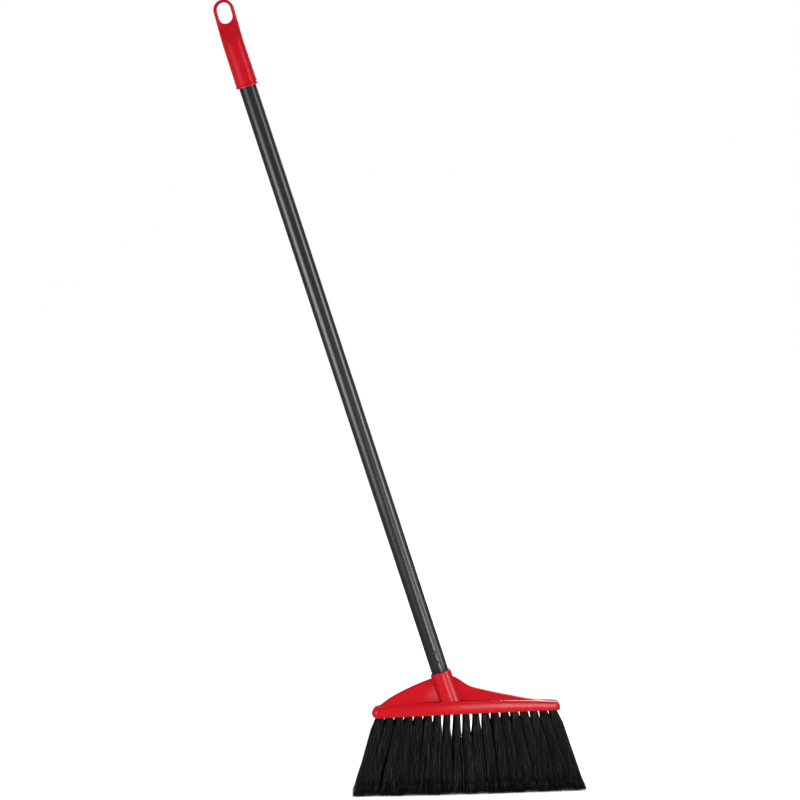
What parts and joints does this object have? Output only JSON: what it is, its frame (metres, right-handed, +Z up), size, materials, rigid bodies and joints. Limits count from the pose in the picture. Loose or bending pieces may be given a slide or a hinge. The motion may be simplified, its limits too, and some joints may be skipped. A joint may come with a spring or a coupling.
{
  "type": "angle broom",
  "caption": "Angle broom with a winged moulded brush block, flared black bristle tufts, a leaning screw-in steel tube handle and a hanger grip with an oval hang hole.",
  "frame": {"origin": "middle of the sweeping face, on the plane of the bristle tips", "axes": "+X along the brush, towards the side the handle leans away from; +Y towards the back of the brush; +Z up from the floor, with the handle leaning 17.1 degrees towards -X"},
  "size_m": [0.4918, 0.0624, 1.0931],
  "materials": {
    "grip_red": "satin",
    "tube_grey": "satin",
    "insert_nylon": "satin",
    "block_red": "satin",
    "bristle_black": "satin",
    "staple_steel": "satin"
  },
  "bodies": {
    "handle": {"hanger_grip": "grip_red", "handle_tube": "tube_grey"},
    "thread_insert": {"thread_insert": "insert_nylon"},
    "head": {"brush_block": "block_red", "tufts_01": "bristle_black", "tufts_02": "bristle_black", "tufts_03": "bristle_black", "tufts_04": "bristle_black", "tufts_05": "bristle_black", "tufts_06": "bristle_black", "tufts_07": "bristle_black", "tufts_08": "bristle_black", "tufts_09": "bristle_black", "tufts_10": "bristle_black", "tufts_11": "bristle_black", "tufts_12": "bristle_black", "tufts_13": "bristle_black", "tufts_14": "bristle_black", "tufts_15": "bristle_black", "tufts_16": "bristle_black", "tufts_17": "bristle_black", "tufts_18": "bristle_black", "tufts_19": "bristle_black", "staples_row_1": "staple_steel", "staples_row_2": "staple_steel", "staples_row_3": "staple_steel"}
  },
  "joints": [
    {"name": "head_unscrew_turn", "type": "hinge", "parent": "handle", "child": "thread_insert", "pos_m": [-0.03284, 0, 0.15388], "axis": [0.294, 0, -0.9558], "range_deg": [0, 1440]},
    {"name": "head_unscrew_travel", "type": "slide", "parent": "thread_insert", "child": "head", "axis": [0.294, 0, -0.9558], "range_m": [0, 0.0204]}
  ],
  "couplings": [
    {"joint": "head_unscrew_travel", "follows": "head_unscrew_turn", "m_per_rad": 0.00080851}
  ]
}
